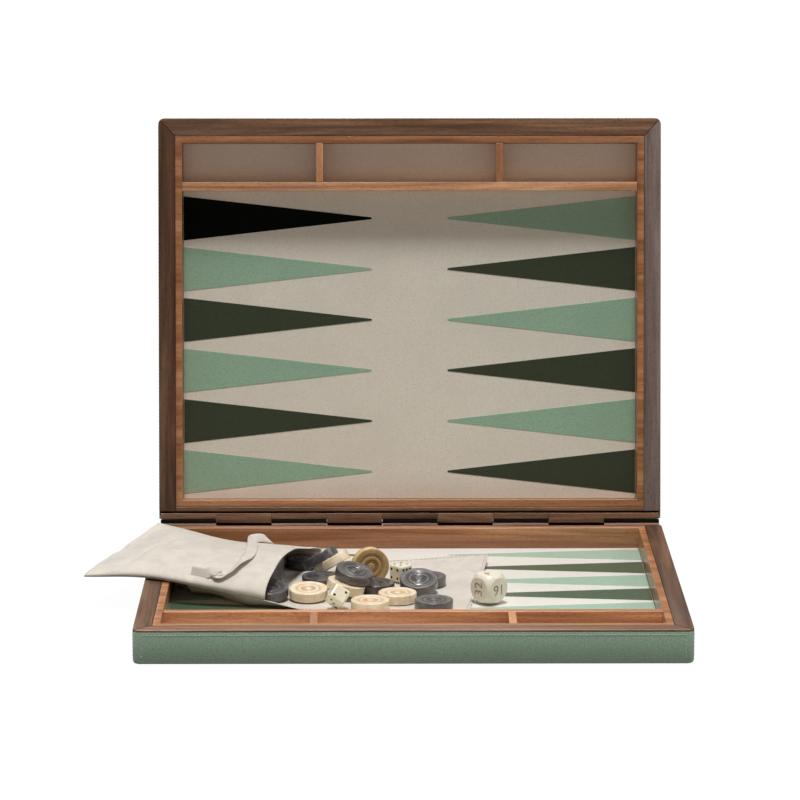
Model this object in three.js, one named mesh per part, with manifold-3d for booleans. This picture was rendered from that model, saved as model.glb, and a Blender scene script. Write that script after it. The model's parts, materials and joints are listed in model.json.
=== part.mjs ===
// A folding backgammon set: two leather-covered walnut trays on a wooden comb hinge, with a suede pouch,
// thirty checkers, two dice and a doubling cube lying in the lower tray.
// Units are millimetres, +Z is up, the front is towards -Y, and the origin is on the underside's middle.
import * as THREE from "three";
import { mergeVertices } from "three/addons/utils/BufferGeometryUtils.js";
import Module from "manifold-3d";

const wasm = await Module();
wasm.setup();

// ---- driving dimensions -------------------------------------------------------------------------

const WIDTH = 500; // outside width of the case
const HALF_HEIGHT = 32; // underside to mating plane of one tray
const FRONT_Y = -202; // outside face of the front
const GAP = 0.3; // clearance between neighbouring pieces
const HALF_MATING_GAP = 0.2; // each tray's rim stops this far short of the mating plane

const LEATHER = 1.2;
const LEATHER_FOOT_BEVEL = 3;
const BEVEL_KNEE = 0.3; // where the foot's bevel bends, as a share of it
const CORNER_FRONT_R = 6;
const CORNER_REAR_R = 2.5;
const LEAST_CORNER_R = 0.5;
const CORNER_STEPS = 5; // segments of each rounded corner
const RIM_LIP = 2; // the walnut covers the leather's top edge by a lip this tall
const RIM_LIP_INSET = 0.2; // and stops this far inside the leather's outside face

const SIDE_RAIL = 16.5;
const FRONT_RAIL = 17.5;
const LINER = 7;
const LINER_STEP = 0.5; // the liner's top lies this far below the mating plane
const STORE_DEPTH = 39; // the three compartments along the front
const LONG_RAIL = 8.5;
const FIELD_DEPTH = 308;
const DIVIDER = 7;
const DIVIDER_X = 89.5;

const BOARD_BOTTOM = 1.5;
const BOARD_TOP = 9.2;
const FIELD_BOTTOM = 9.5;
const FIELD_TOP = 11;

const REAR_STRIP = 4; // walnut strip behind the rear liner
const GROOVE = 2.2; // slot in front of the hinge strip, in which the blocks' corners swing
const HINGE_STRIP = 5.6;
const KNUCKLE_R = 3.3;
const KNUCKLE_CLEARANCE = 0.4; // hinge strip's rear face to the knuckles
const KNUCKLE_DEPTH = 14; // how far a finger reaches below the hinge axis
const NOTCH_CLEARANCE = 0.5; // below a lid block lying in the lower strip
const FINGER_INSET = GAP / 2; // each finger and block stops this far inside its segment
const HINGE_SEGMENTS = 9; // odd ones are the lid's blocks, even ones the lower tray's fingers
const PIN_R = 1.2;
const BORE_R = 1.3;
const ROD_SIDES = 16;
const HINGE_END_INSET = 1.7; // the hinge strips stop short of the case's sides
const LID_OPENING = 100; // degrees from closed in the rest position
const FLAT_OPENING = 180;

const CHECKER_R = 18;
const CHECKER_H = 8.8;
const CHECKER_CHAMFER = 1;
const CHECKER_SIDES = 20;
const CHECKERS_PER_SIDE = 15;
const DIE = 16.5;
const DIE_BEVEL = 2;
const CUBE = 26.5;
const CUBE_BEVEL = 4;

const CLOTH = 1.5; // thickness of the pouch's suede
const STRAP_WIDTH = 9;
const STRAP = 1.4;
const STRAP_CLEARANCE = 1.5; // between the strap and the pouch under it
const STRAP_STATIONS = 8;

// The pouch lies across the left wall. Its seams run from the closed end to the mouth, and go on as the
// long edges of the flap. Places below called "along" are shares of the seams' length, places "across"
// are shares of the way from the front seam to the rear one.
const MOUTH_AT = 0.5; // where along the seams the mouth is
const BODY_STATIONS = 12;
const FLAP_STATIONS = 8;
const ACROSS_STATIONS = 14;
const CREST_END = 42; // the front panel's greatest height at the closed end
const CREST_MIDDLE = 45.5;
const CREST_MOUTH = 44;
const CREST_MIDDLE_AT = 0.4; // share of the front panel's length
const CREST_SKEW = 0.65; // below 1 moves the crest towards the front seam
const CREST_FULLNESS = 0.8; // below 1 makes the panel flatter on top
const END_RISE_FROM = -0.12; // the panel rises to its crest between these shares of its length
const END_RISE_TO = 0.25;
const WALL_CLEAR_X = -219; // the underside starts to drop into the tray here
const FLOOR_X = -206.5; // and lies on the field from here on
const HANGING_ACROSS = 0.26; // how far across the underside hangs in the air beside the wall
const LYING_ACROSS = 0.06; // and nearer the mouth
const HANGING_X = -192; // between these places the one passes into the other
const LYING_X = -150;
const REAR_HANGING_ACROSS = 0.09;
const RAISED_ALONG = 0.8; // the flap's rear corner curls up beyond these
const RAISED_ACROSS = 0.55;

// ---- places worked out from them ----------------------------------------------------------------

const HALF_WIDTH = WIDTH / 2;
const RIM_Z = HALF_HEIGHT - HALF_MATING_GAP;
const LINER_Z = HALF_HEIGHT - LINER_STEP;
const LINER_OUT_X = HALF_WIDTH - SIDE_RAIL;
const LINER_IN_X = LINER_OUT_X - LINER;
const LINER_OUT_FRONT = FRONT_Y + FRONT_RAIL;
const LINER_IN_FRONT = LINER_OUT_FRONT + LINER;
const RAIL_FRONT = LINER_IN_FRONT + STORE_DEPTH;
const RAIL_BACK = RAIL_FRONT + LONG_RAIL;
const LINER_IN_REAR = RAIL_BACK + FIELD_DEPTH;
const LINER_OUT_REAR = LINER_IN_REAR + LINER;
const STRIP_BACK = LINER_OUT_REAR + REAR_STRIP;
const HINGE_FRONT = STRIP_BACK + GROOVE;
const HINGE_BACK = HINGE_FRONT + HINGE_STRIP;
const AXIS_Y = HINGE_BACK + KNUCKLE_CLEARANCE + KNUCKLE_R;
const CASE_BACK = HINGE_BACK + GAP + LEATHER;
const REAR_LEATHER_Z = HALF_HEIGHT - KNUCKLE_DEPTH - 2;
const HINGE_END_X = HALF_WIDTH - HINGE_END_INSET;
const SUEDE_Z = FIELD_TOP + GAP; // underside of the suede where it lies on the field
const REST_Z = SUEDE_Z + CLOTH + GAP; // what the loose pieces stand on

// ---- materials ----------------------------------------------------------------------------------

const finish = (color, roughness) => new THREE.MeshStandardMaterial({ color, roughness, metalness: 0 });
const WALNUT = finish(0x5a3a28, 0.45);
const LINER_WOOD = finish(0x96562f, 0.5);
const BOARD_WOOD = finish(0xb59a74, 0.8);
const CASE_LEATHER = finish(0x6b7d6a, 0.6);
const FIELD_LEATHER = finish(0xe4dccd, 0.7);
const SUEDE = finish(0xe1d7cb, 0.95);
const BOXWOOD = finish(0xe6c88f, 0.45);
const EBONISED = finish(0x3b3535, 0.4);
const IVORY_RESIN = finish(0xeee5c8, 0.35);
const STEEL = new THREE.MeshStandardMaterial({ color: 0x3a3a3c, roughness: 0.4, metalness: 0.9 });

// ---- solids and booleans ------------------------------------------------------------------------

function toSolid(geometry) {
  const bare = geometry.clone();
  bare.deleteAttribute("normal");
  bare.deleteAttribute("uv");
  const merged = mergeVertices(bare, 1e-4);
  return new wasm.Manifold(
    new wasm.Mesh({
      numProp: 3,
      vertProperties: merged.attributes.position.array,
      triVerts: new Uint32Array(merged.index.array),
    }),
  );
}

function toGeometry(solid) {
  const mesh = solid.getMesh();
  const points = new THREE.BufferAttribute(mesh.vertProperties, 3);
  const geometry = new THREE.BufferGeometry().setAttribute("position", points);
  geometry.setIndex(new THREE.BufferAttribute(mesh.triVerts, 1));
  geometry.computeVertexNormals();
  return geometry;
}

const unite = (first, ...rest) => rest.reduce((sum, each) => sum.add(each), first);
const cut = (first, ...rest) => rest.reduce((left, each) => left.subtract(each), first);

function block(x0, x1, y0, y1, z0, z1) {
  const geometry = new THREE.BoxGeometry(x1 - x0, y1 - y0, z1 - z0);
  return geometry.translate((x0 + x1) / 2, (y0 + y1) / 2, (z0 + z1) / 2);
}

const blockSolid = (...sides) => toSolid(block(...sides));

function polygonPrism(points, z0, z1) {
  const shape = new THREE.Shape(points.map(([x, y]) => new THREE.Vector2(x, y)));
  const options = { depth: z1 - z0, bevelEnabled: false };
  return toSolid(new THREE.ExtrudeGeometry(shape, options).translate(0, 0, z0));
}

// The points of a quarter circle, from the angle `start` on.
function cornerArc(x, y, radius, start) {
  return Array.from({ length: CORNER_STEPS + 1 }, (_, i) => {
    const angle = start + (i / CORNER_STEPS) * (Math.PI / 2);
    return new THREE.Vector2(x + radius * Math.cos(angle), y + radius * Math.sin(angle));
  });
}

// The case's plan outline with rounded corners, inset all round by `inset`.
function caseOutline(inset, back) {
  const x = HALF_WIDTH - inset;
  const y0 = FRONT_Y + inset;
  const y1 = back - inset;
  const front = Math.max(CORNER_FRONT_R - inset, LEAST_CORNER_R);
  const rear = Math.max(CORNER_REAR_R - inset, LEAST_CORNER_R);
  return new THREE.Shape([
    ...cornerArc(x - front, y0 + front, front, -Math.PI / 2),
    ...cornerArc(x - rear, y1 - rear, rear, 0),
    ...cornerArc(-x + rear, y1 - rear, rear, Math.PI / 2),
    ...cornerArc(-x + front, y0 + front, front, Math.PI),
  ]);
}

function outlinePrism(inset, back, z0, z1) {
  const options = { depth: z1 - z0, bevelEnabled: false };
  return toSolid(new THREE.ExtrudeGeometry(caseOutline(inset, back), options).translate(0, 0, z0));
}

// A closed solid through the case's outline at several levels, each an inset and a height.
function outlineLoft(levels, back) {
  const rings = levels.map(([inset]) => caseOutline(inset, back).getPoints());
  const count = rings[0].length;
  const positions = rings.flatMap((ring, level) => ring.flatMap(({ x, y }) => [x, y, levels[level][1]]));
  const cap = THREE.ShapeUtils.triangulateShape(rings[0], []);
  const last = (rings.length - 1) * count;
  const faces = cap.flatMap(([a, b, c]) => [a, c, b, last + a, last + b, last + c]);
  for (let level = 1; level < rings.length; level++) {
    for (let i = 0; i < count; i++) {
      const low = (level - 1) * count;
      const next = (i + 1) % count;
      faces.push(low + i, low + next, low + count + next);
      faces.push(low + i, low + count + next, low + count + i);
    }
  }
  const geometry = new THREE.BufferGeometry();
  geometry.setAttribute("position", new THREE.Float32BufferAttribute(positions, 3));
  return toSolid(geometry.setIndex(faces));
}

// A rod along X about the line y, z.
function rodX(radius, x0, x1, y, z) {
  const geometry = new THREE.CylinderGeometry(radius, radius, x1 - x0, ROD_SIDES);
  return toSolid(geometry.rotateZ(Math.PI / 2).translate((x0 + x1) / 2, y, z));
}

// ---- one tray -----------------------------------------------------------------------------------

function leatherCover() {
  const top = HALF_HEIGHT - RIM_LIP - GAP;
  const soft = LEATHER_FOOT_BEVEL;
  const knee = soft * BEVEL_KNEE;
  const outside = outlineLoft([[soft, 0], [knee, knee], [0, soft], [0, top]], CASE_BACK);
  const far = HALF_WIDTH + 1;
  return cut(
    outside,
    outlinePrism(LEATHER, CASE_BACK, LEATHER, HALF_HEIGHT),
    blockSolid(-far, far, HINGE_BACK, CASE_BACK + 1, REAR_LEATHER_Z, HALF_HEIGHT),
  );
}

function bottomBoard() {
  const inset = LEATHER + GAP + LEATHER_FOOT_BEVEL / 2;
  return outlinePrism(inset, CASE_BACK, BOARD_BOTTOM, BOARD_TOP);
}

// The ring that the walnut rails are cut from: full width at the lip, stepped in behind the leather.
function railRing() {
  const lip = outlinePrism(RIM_LIP_INSET, STRIP_BACK, RIM_Z - RIM_LIP, RIM_Z);
  const body = outlinePrism(LEATHER + GAP, STRIP_BACK + LEATHER + GAP, FIELD_BOTTOM, RIM_Z);
  const inside = blockSolid(-LINER_OUT_X, LINER_OUT_X, LINER_OUT_FRONT, CASE_BACK, 0, 2 * HALF_HEIGHT);
  const behind = blockSolid(-WIDTH, WIDTH, STRIP_BACK, WIDTH, 0, 2 * HALF_HEIGHT);
  return cut(unite(lip, body), inside, behind);
}

function frontRail(ring) {
  const mitred = [
    [-HALF_WIDTH + GAP, FRONT_Y],
    [HALF_WIDTH - GAP, FRONT_Y],
    [LINER_OUT_X - GAP, LINER_OUT_FRONT],
    [-LINER_OUT_X + GAP, LINER_OUT_FRONT],
  ];
  return ring.intersect(polygonPrism(mitred, 0, 2 * HALF_HEIGHT));
}

function sideRail(ring, side) {
  const mitred = [
    [-HALF_WIDTH, FRONT_Y + GAP],
    [-LINER_OUT_X, LINER_OUT_FRONT + GAP],
    [-LINER_OUT_X, WIDTH],
    [-HALF_WIDTH, WIDTH],
  ];
  const points = side < 0 ? mitred : mitred.map(([x, y]) => [-x, y]).reverse();
  return ring.intersect(polygonPrism(points, 0, 2 * HALF_HEIGHT));
}

function rearStrip() {
  const x = LINER_OUT_X - GAP;
  return blockSolid(-x, x, LINER_OUT_REAR + GAP, STRIP_BACK, FIELD_BOTTOM, RIM_Z);
}

function linerFrame() {
  const x = LINER_OUT_X - GAP;
  const outside = blockSolid(
    -x, x, LINER_OUT_FRONT + GAP, LINER_OUT_REAR, FIELD_BOTTOM, LINER_Z,
  );
  const inside = blockSolid(-LINER_IN_X, LINER_IN_X, LINER_IN_FRONT, LINER_IN_REAR, 0, HALF_HEIGHT);
  return cut(outside, inside);
}

function playingField() {
  const x = LINER_IN_X - GAP;
  return blockSolid(-x, x, LINER_IN_FRONT + GAP, LINER_IN_REAR - GAP, FIELD_BOTTOM, FIELD_TOP);
}

function longRail() {
  const x = LINER_IN_X - GAP;
  return blockSolid(-x, x, RAIL_FRONT, RAIL_BACK, FIELD_TOP + GAP, LINER_Z);
}

function divider(x) {
  const half = DIVIDER / 2;
  return blockSolid(
    x - half, x + half, LINER_IN_FRONT + GAP, RAIL_FRONT - GAP, FIELD_TOP + GAP, LINER_Z,
  );
}

// ---- the comb hinge -----------------------------------------------------------------------------

function hingeSegment(index) {
  const pitch = (2 * HINGE_END_X) / HINGE_SEGMENTS;
  return [-HINGE_END_X + index * pitch, -HINGE_END_X + (index + 1) * pitch];
}

const lidSegments = Array.from({ length: HINGE_SEGMENTS }, (_, i) => i).filter((i) => i % 2 === 1);
const lowerSegments = Array.from({ length: HINGE_SEGMENTS }, (_, i) => i).filter((i) => i % 2 === 0);

function hingeStripBody() {
  return blockSolid(-HINGE_END_X, HINGE_END_X, HINGE_FRONT, HINGE_BACK, FIELD_BOTTOM, RIM_Z);
}

const pinBore = () => rodX(BORE_R, -WIDTH, WIDTH, AXIS_Y, HALF_HEIGHT);

// A finger stands behind the strip and is rounded about the hinge axis.
function finger(index) {
  const [left, right] = hingeSegment(index);
  const x0 = index === 0 ? left : left + FINGER_INSET;
  const x1 = index === HINGE_SEGMENTS - 1 ? right : right - FINGER_INSET;
  const foot = HALF_HEIGHT - KNUCKLE_DEPTH;
  return unite(
    blockSolid(x0, x1, HINGE_BACK - 1, AXIS_Y + KNUCKLE_R, foot, HALF_HEIGHT),
    rodX(KNUCKLE_R, x0, x1, AXIS_Y, HALF_HEIGHT),
  );
}

// A lid block is a finger with a flat face that stands out of the mating plane by the knuckle's radius.
function lidBlock(index) {
  const [left, right] = hingeSegment(index);
  const foot = HALF_HEIGHT - KNUCKLE_DEPTH;
  const face = blockSolid(
    left + FINGER_INSET, right - FINGER_INSET, HINGE_FRONT, AXIS_Y, foot, HALF_HEIGHT + KNUCKLE_R,
  );
  return unite(face, finger(index));
}

function lowerHingeStrip() {
  const notches = lidSegments.map((index) => {
    const [left, right] = hingeSegment(index);
    const floor = HALF_HEIGHT - KNUCKLE_R - NOTCH_CLEARANCE;
    const x0 = left - FINGER_INSET;
    const x1 = right + FINGER_INSET;
    return blockSolid(x0, x1, HINGE_FRONT - 1, HINGE_BACK + 1, floor, 2 * HALF_HEIGHT);
  });
  const strip = cut(hingeStripBody(), ...notches);
  return cut(unite(strip, ...lowerSegments.map(finger)), pinBore());
}

function lidHingeStrip() {
  return cut(unite(hingeStripBody(), ...lidSegments.map(lidBlock)), pinBore());
}

function hingePin() {
  return rodX(PIN_R, -HINGE_END_X, HINGE_END_X, AXIS_Y, HALF_HEIGHT);
}

// ---- the scene graph ----------------------------------------------------------------------------

const set = new THREE.Group();

function addPiece(group, name, shape, material) {
  const geometry = shape.isBufferGeometry ? shape : toGeometry(shape);
  const mesh = new THREE.Mesh(geometry, material);
  mesh.name = name;
  group.add(mesh);
  return mesh;
}

// The left pieces are on the side of `leftSide`: the lid, turned half round, has them at its own +X.
function addTray(group, prefix, leftSide, hingeStrip) {
  const ring = railRing();
  addPiece(group, prefix + "_leather_cover", leatherCover(), CASE_LEATHER);
  addPiece(group, prefix + "_bottom_board", bottomBoard(), BOARD_WOOD);
  addPiece(group, prefix + "_front_rail", frontRail(ring), WALNUT);
  addPiece(group, prefix + "_left_rail", sideRail(ring, leftSide), WALNUT);
  addPiece(group, prefix + "_right_rail", sideRail(ring, -leftSide), WALNUT);
  addPiece(group, prefix + "_rear_strip", rearStrip(), WALNUT);
  addPiece(group, prefix + "_liner_frame", linerFrame(), LINER_WOOD);
  addPiece(group, prefix + "_playing_field", playingField(), FIELD_LEATHER);
  addPiece(group, prefix + "_long_rail", longRail(), LINER_WOOD);
  addPiece(group, prefix + "_left_divider", divider(leftSide * DIVIDER_X), LINER_WOOD);
  addPiece(group, prefix + "_right_divider", divider(-leftSide * DIVIDER_X), LINER_WOOD);
  addPiece(group, prefix + "_hinge_strip", hingeStrip, WALNUT);
}

addTray(set, "base", -1, lowerHingeStrip());
addPiece(set, "hinge_pin", hingePin(), STEEL);

// The lid is a second tray, turned about the hinge: half a turn on the table, then lifted off flat.
const lidHinge = new THREE.Group();
lidHinge.position.set(0, AXIS_Y, HALF_HEIGHT);
lidHinge.rotation.x = THREE.MathUtils.degToRad(FLAT_OPENING - LID_OPENING);
const lid = new THREE.Group();
const halfTurn = new THREE.Matrix4().makeRotationZ(Math.PI);
lid.applyMatrix4(halfTurn.multiply(new THREE.Matrix4().makeTranslation(0, -AXIS_Y, -HALF_HEIGHT)));
lidHinge.add(lid);
set.add(lidHinge);
addTray(lid, "lid", 1, lidHingeStrip());

// ---- the suede pouch ----------------------------------------------------------------------------

// The seams' points: two of the closed end, the wall, the mouth's foot, and the flap.
const FRONT_SEAM = [
  [-308, -6, 30], [-250, -25, 34], [-205, -42, 31], [-137, -53, 19], [-104, -60, 12.5],
  [-68, -72, SUEDE_Z], [50, -88, SUEDE_Z],
];
const REAR_SEAM = [
  [-248, 162, 40], [-222, 156, 35], [-170, 150, 23], [-87, 140, 18], [-50, 132, SUEDE_Z],
  [-22, 125, SUEDE_Z], [76, 119, 19],
];

const curveOf = (points) =>
  new THREE.CatmullRomCurve3(points.map((p) => new THREE.Vector3(...p)), false, "centripetal");
const frontSeam = curveOf(FRONT_SEAM);
const rearSeam = curveOf(REAR_SEAM);
const { lerp, smoothstep } = THREE.MathUtils;

function seamPoint(along, across) {
  return frontSeam.getPoint(along).lerp(rearSeam.getPoint(along), across);
}

// The underside: it hangs from the wall, and lies on the field where it is full.
function bottomPoint(along, across) {
  const point = seamPoint(along, across);
  const hanging = lerp(HANGING_ACROSS, LYING_ACROSS, smoothstep(point.x, HANGING_X, LYING_X));
  const fullness = smoothstep(across, 0, hanging) * smoothstep(1 - across, 0, REAR_HANGING_ACROSS);
  const raised = smoothstep(across, RAISED_ACROSS, 1) * smoothstep(along, RAISED_ALONG, 1);
  const drop = smoothstep(point.x, WALL_CLEAR_X, FLOOR_X) * Math.max(fullness - raised, 0);
  point.z = Math.max(lerp(point.z, SUEDE_Z, drop), SUEDE_Z);
  return point;
}

function crestHeight(share) {
  return share < CREST_MIDDLE_AT
    ? lerp(CREST_END, CREST_MIDDLE, smoothstep(share, 0, CREST_MIDDLE_AT))
    : lerp(CREST_MIDDLE, CREST_MOUTH, smoothstep(share, CREST_MIDDLE_AT, 1));
}

// The front panel, from the closed end at share 0 to the mouth at 1.
function topPoint(share, across) {
  const point = seamPoint(share * MOUTH_AT, across);
  const arch = Math.max(Math.sin(Math.PI * Math.pow(across, CREST_SKEW)), 0);
  const rise = Math.pow(arch, CREST_FULLNESS) * smoothstep(share, END_RISE_FROM, END_RISE_TO);
  point.z = lerp(point.z, Math.max(crestHeight(share), point.z), rise);
  return point;
}

// A closed slab over a grid of points, `thickness` tall.
function sheetSolid(pointAt, rows, columns, thickness) {
  const positions = [];
  const lower = (r, c) => r * (columns + 1) + c;
  const upper = (r, c) => (rows + 1) * (columns + 1) + lower(r, c);
  for (const lift of [0, thickness]) {
    for (let r = 0; r <= rows; r++) {
      for (let c = 0; c <= columns; c++) {
        const p = pointAt(r / rows, c / columns);
        positions.push(p.x, p.y, p.z + lift);
      }
    }
  }
  const faces = [];
  const quad = (a, b, c, d) => faces.push(a, b, c, a, c, d);
  for (let r = 0; r < rows; r++) {
    for (let c = 0; c < columns; c++) {
      quad(upper(r, c), upper(r + 1, c), upper(r + 1, c + 1), upper(r, c + 1));
      quad(lower(r, c), lower(r, c + 1), lower(r + 1, c + 1), lower(r + 1, c));
    }
    quad(lower(r, 0), lower(r + 1, 0), upper(r + 1, 0), upper(r, 0));
    quad(lower(r + 1, columns), lower(r, columns), upper(r, columns), upper(r + 1, columns));
  }
  for (let c = 0; c < columns; c++) {
    quad(lower(0, c + 1), lower(0, c), upper(0, c), upper(0, c + 1));
    quad(lower(rows, c), lower(rows, c + 1), upper(rows, c + 1), upper(rows, c));
  }
  const geometry = new THREE.BufferGeometry();
  geometry.setAttribute("position", new THREE.Float32BufferAttribute(positions, 3));
  geometry.setIndex(faces);
  return toSolid(geometry);
}

function pouch() {
  const rows = BODY_STATIONS + FLAP_STATIONS;
  const back = sheetSolid(bottomPoint, rows, ACROSS_STATIONS, CLOTH);
  const front = sheetSolid(topPoint, BODY_STATIONS, ACROSS_STATIONS, CLOTH);
  return unite(back, front);
}

// The tie strap lies over the pouch from a curl at the front edge to a loop at the rear.
const STRAP_FRONT = [0.72, 0.03];
const STRAP_REAR = [0.86, 0.6];

function strapPoint(along, across) {
  const share = lerp(STRAP_FRONT[0], STRAP_REAR[0], along);
  const over = lerp(STRAP_FRONT[1], STRAP_REAR[1], along);
  const point = topPoint(share, over);
  point.x += (0.5 - across) * STRAP_WIDTH;
  point.z += CLOTH + STRAP_CLEARANCE;
  return point;
}

addPiece(set, "pouch", pouch(), SUEDE);
addPiece(set, "pouch_tie_strap", sheetSolid(strapPoint, STRAP_STATIONS, 1, STRAP), SUEDE);

// ---- checkers, dice and doubling cube -----------------------------------------------------------

function checkerGeometry() {
  const half = CHECKER_H / 2;
  const profile = [
    [0, -half], [CHECKER_R - CHECKER_CHAMFER, -half], [CHECKER_R, -half + CHECKER_CHAMFER],
    [CHECKER_R, half - CHECKER_CHAMFER], [CHECKER_R - CHECKER_CHAMFER, half], [0, half],
  ].map(([r, z]) => new THREE.Vector2(r, z));
  return new THREE.LatheGeometry(profile, CHECKER_SIDES).rotateX(Math.PI / 2);
}

// A cube with bevelled edges: the parts common to a cube and three bevelled prisms.
function bevelledCube(size, bevel) {
  const half = size / 2;
  const inner = half - bevel;
  const outline = [
    [-inner, -half], [inner, -half], [half, -inner], [half, inner],
    [inner, half], [-inner, half], [-half, inner], [-half, -inner],
  ];
  const upright = polygonPrism(outline, -half, half);
  const along = upright.rotate([0, 90, 0]);
  const across = upright.rotate([90, 0, 0]);
  return toGeometry(upright.intersect(along).intersect(across));
}

const FLAT = [0, 0, 1];
const FLAT_Z = REST_Z + CHECKER_H / 2;
// Each visible checker: its middle, and the way its face looks.
const LIGHT_CHECKERS = [
  [[-97, -23, 19.5], [0, -0.105, 0.994]],
  [[-39, -58.5, FLAT_Z], FLAT],
  [[-13.5, -31, FLAT_Z], FLAT],
  [[-39.5, 28.5, REST_Z + CHECKER_R + GAP], [0.3, -0.95, 0]],
  [[-76, 63, 26.2], [-0.5, 0.22, 0.837]],
  [[-62, -16.8, 23.5], [0.25, 0, 0.97]],
];
const DARK_CHECKERS = [
  [[20, -58, FLAT_Z], FLAT],
  [[6.7, 0.2, 23.2], [0, -0.31, 0.95]],
  [[15, 30, FLAT_Z], FLAT],
  [[-54, -10, 33.9], [0.22, -0.18, 0.96]],
  [[-86, 30, FLAT_Z], FLAT],
  [[-133.4, -22, 20.8], [0, -0.17, 0.985]],
  [[-34, 5.5, FLAT_Z], FLAT],
  [[-87.5, 65, 29.9], [-0.5, 0.22, 0.837]],
];

const Z_AXIS = new THREE.Vector3(0, 0, 1);

function addChecker(name, material, [place, facing]) {
  const checker = addPiece(set, name, checkerGeometry(), material);
  checker.position.set(...place);
  checker.quaternion.setFromUnitVectors(Z_AXIS, new THREE.Vector3(...facing).normalize());
}

// The checkers out of sight stand in stacks in the pouch, and one lies behind the spilled ones.
const STACKS = [
  { x: -51, y: 82, layers: 1 },
  { x: -176.5, y: 24.5, layers: 3 },
  { x: -176.5, y: 61, layers: 3 },
  { x: -176.5, y: 97.5, layers: 2 },
  { x: -139.5, y: 26, layers: 3 },
  { x: -139.5, y: 62.5, layers: 2 },
  { x: -139.5, y: 99, layers: 1 },
  { x: -102.5, y: 101, layers: 1 },
];

function hiddenCheckerPlaces() {
  return STACKS.flatMap(({ x, y, layers }) =>
    Array.from({ length: layers }, (_, layer) => [x, y, FLAT_Z + layer * (CHECKER_H + GAP)]),
  );
}

const hidden = hiddenCheckerPlaces().map((place) => [place, FLAT]);
const hiddenLight = hidden.slice(0, CHECKERS_PER_SIDE - LIGHT_CHECKERS.length);
const hiddenDark = hidden.slice(CHECKERS_PER_SIDE - LIGHT_CHECKERS.length);
[...LIGHT_CHECKERS, ...hiddenLight].forEach((pose, i) => addChecker(`light_checker_${i + 1}`, BOXWOOD, pose));
[...DARK_CHECKERS, ...hiddenDark].forEach((pose, i) => addChecker(`dark_checker_${i + 1}`, EBONISED, pose));

function addCube(name, size, bevel, place, degrees) {
  const cube = addPiece(set, name, bevelledCube(size, bevel), IVORY_RESIN);
  cube.position.set(...place);
  cube.rotation.set(...degrees.map(THREE.MathUtils.degToRad));
}

const LEANING_DIE_Z = REST_Z + 12.2; // the first die stands on a corner, against the checkers
addCube("die_1", DIE, DIE_BEVEL, [-69, -62, LEANING_DIE_Z], [53.5, 17.5, -29]);
addCube("die_2", DIE, DIE_BEVEL, [-10, 43, REST_Z + DIE / 2], [0, 0, 42]);
addCube("doubling_cube", CUBE, CUBE_BEVEL, [72, -31, REST_Z + CUBE / 2], [0, 0, 42]);

export default set;
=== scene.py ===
"""Looks for a folding backgammon set: leather-covered walnut trays, a suede pouch, checkers and dice.

Lengths are in metres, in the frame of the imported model. A tray's pieces are made in the lower tray's own
coordinates and placed by TRAYS, because the lid is a second tray turned about the hinge.
"""

import json
import math

import bmesh
import bpy
import numpy as np
from mathutils import Matrix, Vector, noise
from mathutils.bvhtree import BVHTree


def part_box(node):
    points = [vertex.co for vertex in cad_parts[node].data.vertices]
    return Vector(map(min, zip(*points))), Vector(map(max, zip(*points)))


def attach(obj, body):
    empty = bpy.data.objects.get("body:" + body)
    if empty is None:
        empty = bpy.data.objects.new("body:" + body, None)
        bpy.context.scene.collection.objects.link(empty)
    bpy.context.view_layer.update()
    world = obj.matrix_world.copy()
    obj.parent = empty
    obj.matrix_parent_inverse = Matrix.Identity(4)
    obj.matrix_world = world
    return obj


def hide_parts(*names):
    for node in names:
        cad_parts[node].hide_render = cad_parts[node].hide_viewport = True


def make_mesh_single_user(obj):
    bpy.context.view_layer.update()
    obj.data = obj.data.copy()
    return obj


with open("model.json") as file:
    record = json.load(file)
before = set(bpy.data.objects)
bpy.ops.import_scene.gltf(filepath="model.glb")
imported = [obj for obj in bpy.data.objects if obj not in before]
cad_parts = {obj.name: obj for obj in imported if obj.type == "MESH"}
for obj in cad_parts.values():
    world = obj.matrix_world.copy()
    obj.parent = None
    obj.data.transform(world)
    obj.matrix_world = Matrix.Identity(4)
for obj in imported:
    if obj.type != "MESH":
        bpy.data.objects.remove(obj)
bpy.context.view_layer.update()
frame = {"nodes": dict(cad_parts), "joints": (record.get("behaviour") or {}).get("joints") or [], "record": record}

MM = 0.001
NODES = frame["nodes"]

# ---- places taken from the frame -------------------------------------

HINGE = next(joint for joint in frame["joints"] if joint["name"] == "lid_hinge")
HINGE_POINT = Vector(HINGE["pos_m"])
FROM_FLAT = math.radians(-HINGE["range_deg"][0])
TRAYS = {
    "base": Matrix.Identity(4),
    "lid": Matrix.Translation(HINGE_POINT)
    @ Matrix.Rotation(FROM_FLAT, 4, "X")
    @ Matrix.Rotation(math.pi, 4, "Z")
    @ Matrix.Translation(-HINGE_POINT),
}
COVER_LOW, COVER_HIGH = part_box("base_leather_cover")
FIELD_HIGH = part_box("base_playing_field")[1]
RAIL_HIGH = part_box("base_long_rail")[1]
FLAT_LOW, FLAT_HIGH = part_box("dark_checker_1")
CHECKER_R = (FLAT_HIGH.x - FLAT_LOW.x) / 2
CHECKER_H = FLAT_HIGH.z - FLAT_LOW.z
GAP = 0.3 * MM

# ---- sizes of what the frame doesn't hold ----------------------------

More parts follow.
